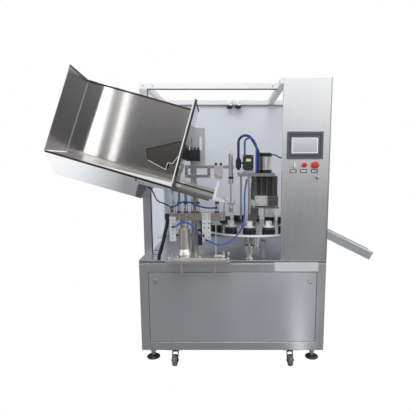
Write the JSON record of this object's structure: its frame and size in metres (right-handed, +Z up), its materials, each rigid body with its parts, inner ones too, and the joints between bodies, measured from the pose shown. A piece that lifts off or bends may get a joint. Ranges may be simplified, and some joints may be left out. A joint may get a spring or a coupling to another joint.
{
  "type": "tube filling machine",
  "caption": "Rotary tube filling machine with tilted tube bin, indexing holder turntable, filling and sealing stations, control column, discharge chute and castered cabinet",
  "frame": {"origin": "on the floor under the middle of the machine's overall box", "axes": "+X to the right seen from the operator's side, +Y from the operator to the back, +Z up"},
  "size_m": [2.0124, 1.061, 1.8393],
  "materials": {
    "frame_steel": "fine vertical brushing, sealed",
    "sheet_steel": "fine brushing, slightly bright",
    "mirror_steel": "bright rolled, reflecting",
    "turned_steel": "turned and polished",
    "table_steel": "ground flat",
    "guard_metal": "pale silver lacquer, satin",
    "rear_panel": "pale blue-white sheet",
    "bezel_grey": "fine grain",
    "switch_metal": "polished rings",
    "signal_red": "glossy moulded",
    "knob_black": "fine grain",
    "alloy": "natural anodised",
    "arm_cast": "brown-grey hammer coat",
    "valve_black": "fine grain",
    "plate_white": "white satin",
    "drive_grey": "grey coat",
    "column_grey": "satin",
    "holder_black": "turned acetal",
    "cup_white": "turned acetal",
    "disc_light": "bright turned rim",
    "seal_grey": "dark satin",
    "hose_blue": "soft polyurethane",
    "cable_black": "matt sheath",
    "fork_black": "black coat",
    "wheel_grey": "worn tread"
  },
  "bodies": {
    "machine": {"base_frame": "frame_steel", "table_plate": "table_steel", "cabinet_panels": "sheet_steel", "guard_frame": "guard_metal", "rear_guard_panel": "rear_panel", "control_column": "sheet_steel", "operator_panel": "bezel_grey", "switch_collars": "switch_metal", "bin_walls": "mirror_steel", "bin_front_panel": "sheet_steel", "bin_floor": "mirror_steel", "stand_base_plate": "table_steel", "stand_pillar": "turned_steel", "bin_arm": "arm_cast", "loader_frame": "alloy", "valve_manifold": "valve_black", "bracket_plates": "plate_white", "index_drive": "drive_grey", "station_tower": "column_grey", "press_cylinder": "alloy", "fill_valve": "valve_black", "fill_nozzle": "turned_steel", "seal_motor": "alloy", "seal_frame": "seal_grey", "discharge_chute": "sheet_steel", "hose_upper": "hose_blue", "hose_mid": "hose_blue", "hose_loop": "hose_blue", "hose_arch": "hose_blue", "hose_valve": "hose_blue", "cable_motor": "cable_black", "cable_feeder": "cable_black", "cable_bundle": "cable_black"},
    "turntable": {"turntable_disc": "disc_light", "tube_holders": "holder_black", "holder_cups": "cup_white"},
    "cradle": {"tube_cradle": "mirror_steel"},
    "press": {"press_rod": "turned_steel"},
    "front_jaw": {"jaw_front": "alloy"},
    "back_jaw": {"jaw_back": "alloy"},
    "lifter": {"lift_spindle": "turned_steel"},
    "door": {"front_door": "sheet_steel"},
    "latch_left_body": {"latch_left": "switch_metal"},
    "latch_right_body": {"latch_right": "switch_metal"},
    "estop": {"estop_head": "signal_red"},
    "stop_push_body": {"stop_button": "signal_red"},
    "selector": {"selector_knob": "knob_black"},
    "key": {"column_key": "switch_metal"},
    "fork_fl": {"caster_fork_fl": "fork_black"},
    "wheel_fl": {"caster_wheel_fl": "wheel_grey"},
    "fork_fr": {"caster_fork_fr": "fork_black"},
    "wheel_fr": {"caster_wheel_fr": "wheel_grey"},
    "fork_bl": {"caster_fork_bl": "fork_black"},
    "wheel_bl": {"caster_wheel_bl": "wheel_grey"},
    "fork_br": {"caster_fork_br": "fork_black"},
    "wheel_br": {"caster_wheel_br": "wheel_grey"},
    "level_fl": {"foot_fl": "fork_black"},
    "level_fr": {"foot_fr": "fork_black"},
    "level_bl": {"foot_bl": "fork_black"},
    "level_br": {"foot_br": "fork_black"}
  },
  "joints": [
    {"name": "turntable_index", "type": "hinge", "parent": "machine", "child": "turntable", "pos_m": [0.18685, 0.0105, 0.78], "axis": [0, 0, 1], "continuous": true},
    {"name": "cradle_swing", "type": "hinge", "parent": "machine", "child": "cradle", "pos_m": [0.01603, -0.26659, 1.08], "axis": [-1, 0, 0], "range_deg": [0, 90]},
    {"name": "press_stroke", "type": "slide", "parent": "machine", "child": "press", "axis": [0, 0, 1], "range_m": [0, 0.12]},
    {"name": "front_jaw_close", "type": "slide", "parent": "machine", "child": "front_jaw", "axis": [0, 1, 0], "range_m": [0, 0.012]},
    {"name": "back_jaw_close", "type": "slide", "parent": "machine", "child": "back_jaw", "axis": [0, -1, 0], "range_m": [0, 0.012]},
    {"name": "lifter_rise", "type": "slide", "parent": "machine", "child": "lifter", "axis": [0, 0, 1], "range_m": [0, 0.04]},
    {"name": "door_tilt", "type": "hinge", "parent": "machine", "child": "door", "pos_m": [0.04785, -0.3757, 0.1818], "axis": [1, 0, 0], "range_deg": [0, 40]},
    {"name": "latch_left_turn", "type": "hinge", "parent": "door", "child": "latch_left_body", "pos_m": [-0.43815, -0.3805, 0.5767], "axis": [0, 1, 0], "range_deg": [0, 90]},
    {"name": "latch_right_turn", "type": "hinge", "parent": "door", "child": "latch_right_body", "pos_m": [0.53385, -0.3805, 0.5767], "axis": [0, -1, 0], "range_deg": [0, 90]},
    {"name": "estop_push", "type": "slide", "parent": "machine", "child": "estop", "axis": [0, 1, 0], "range_m": [0, 0.006], "stiffness_N_per_m": 900},
    {"name": "stop_push", "type": "slide", "parent": "machine", "child": "stop_push_body", "axis": [0, 1, 0], "range_m": [0, 0.0035], "stiffness_N_per_m": 500},
    {"name": "selector_turn", "type": "hinge", "parent": "machine", "child": "selector", "pos_m": [0.41385, -0.3905, 1.299], "axis": [0, -1, 0], "range_deg": [-45, 45]},
    {"name": "key_turn", "type": "hinge", "parent": "machine", "child": "key", "pos_m": [0.55585, -0.3905, 1.224], "axis": [0, -1, 0], "range_deg": [0, 90]},
    {"name": "caster_swivel_fl", "type": "hinge", "parent": "machine", "child": "fork_fl", "pos_m": [-0.32815, -0.3185, 0.102], "axis": [0, 0, 1], "continuous": true},
    {"name": "caster_roll_fl", "type": "hinge", "parent": "fork_fl", "child": "wheel_fl", "pos_m": [-0.32815, -0.3545, 0.0375], "axis": [1, 0, 0], "continuous": true},
    {"name": "caster_swivel_fr", "type": "hinge", "parent": "machine", "child": "fork_fr", "pos_m": [0.42385, -0.3185, 0.102], "axis": [0, 0, 1], "continuous": true},
    {"name": "caster_roll_fr", "type": "hinge", "parent": "fork_fr", "child": "wheel_fr", "pos_m": [0.42385, -0.3545, 0.0375], "axis": [1, 0, 0], "continuous": true},
    {"name": "caster_swivel_bl", "type": "hinge", "parent": "machine", "child": "fork_bl", "pos_m": [-0.32815, 0.4535, 0.102], "axis": [0, 0, 1], "continuous": true},
    {"name": "caster_roll_bl", "type": "hinge", "parent": "fork_bl", "child": "wheel_bl", "pos_m": [-0.32815, 0.4175, 0.0375], "axis": [1, 0, 0], "continuous": true},
    {"name": "caster_swivel_br", "type": "hinge", "parent": "machine", "child": "fork_br", "pos_m": [0.42385, 0.4535, 0.102], "axis": [0, 0, 1], "continuous": true},
    {"name": "caster_roll_br", "type": "hinge", "parent": "fork_br", "child": "wheel_br", "pos_m": [0.42385, 0.4175, 0.0375], "axis": [1, 0, 0], "continuous": true},
    {"name": "foot_screw_fl", "type": "slide", "parent": "machine", "child": "level_fl", "axis": [0, 0, 1], "range_m": [-0.06, 0]},
    {"name": "foot_screw_fr", "type": "slide", "parent": "machine", "child": "level_fr", "axis": [0, 0, 1], "range_m": [-0.06, 0]},
    {"name": "foot_screw_bl", "type": "slide", "parent": "machine", "child": "level_bl", "axis": [0, 0, 1], "range_m": [-0.06, 0]},
    {"name": "foot_screw_br", "type": "slide", "parent": "machine", "child": "level_br", "axis": [0, 0, 1], "range_m": [-0.06, 0]}
  ],
  "couplings": [
    {"joint": "back_jaw_close", "follows": "front_jaw_close", "ratio": 1}
  ]
}
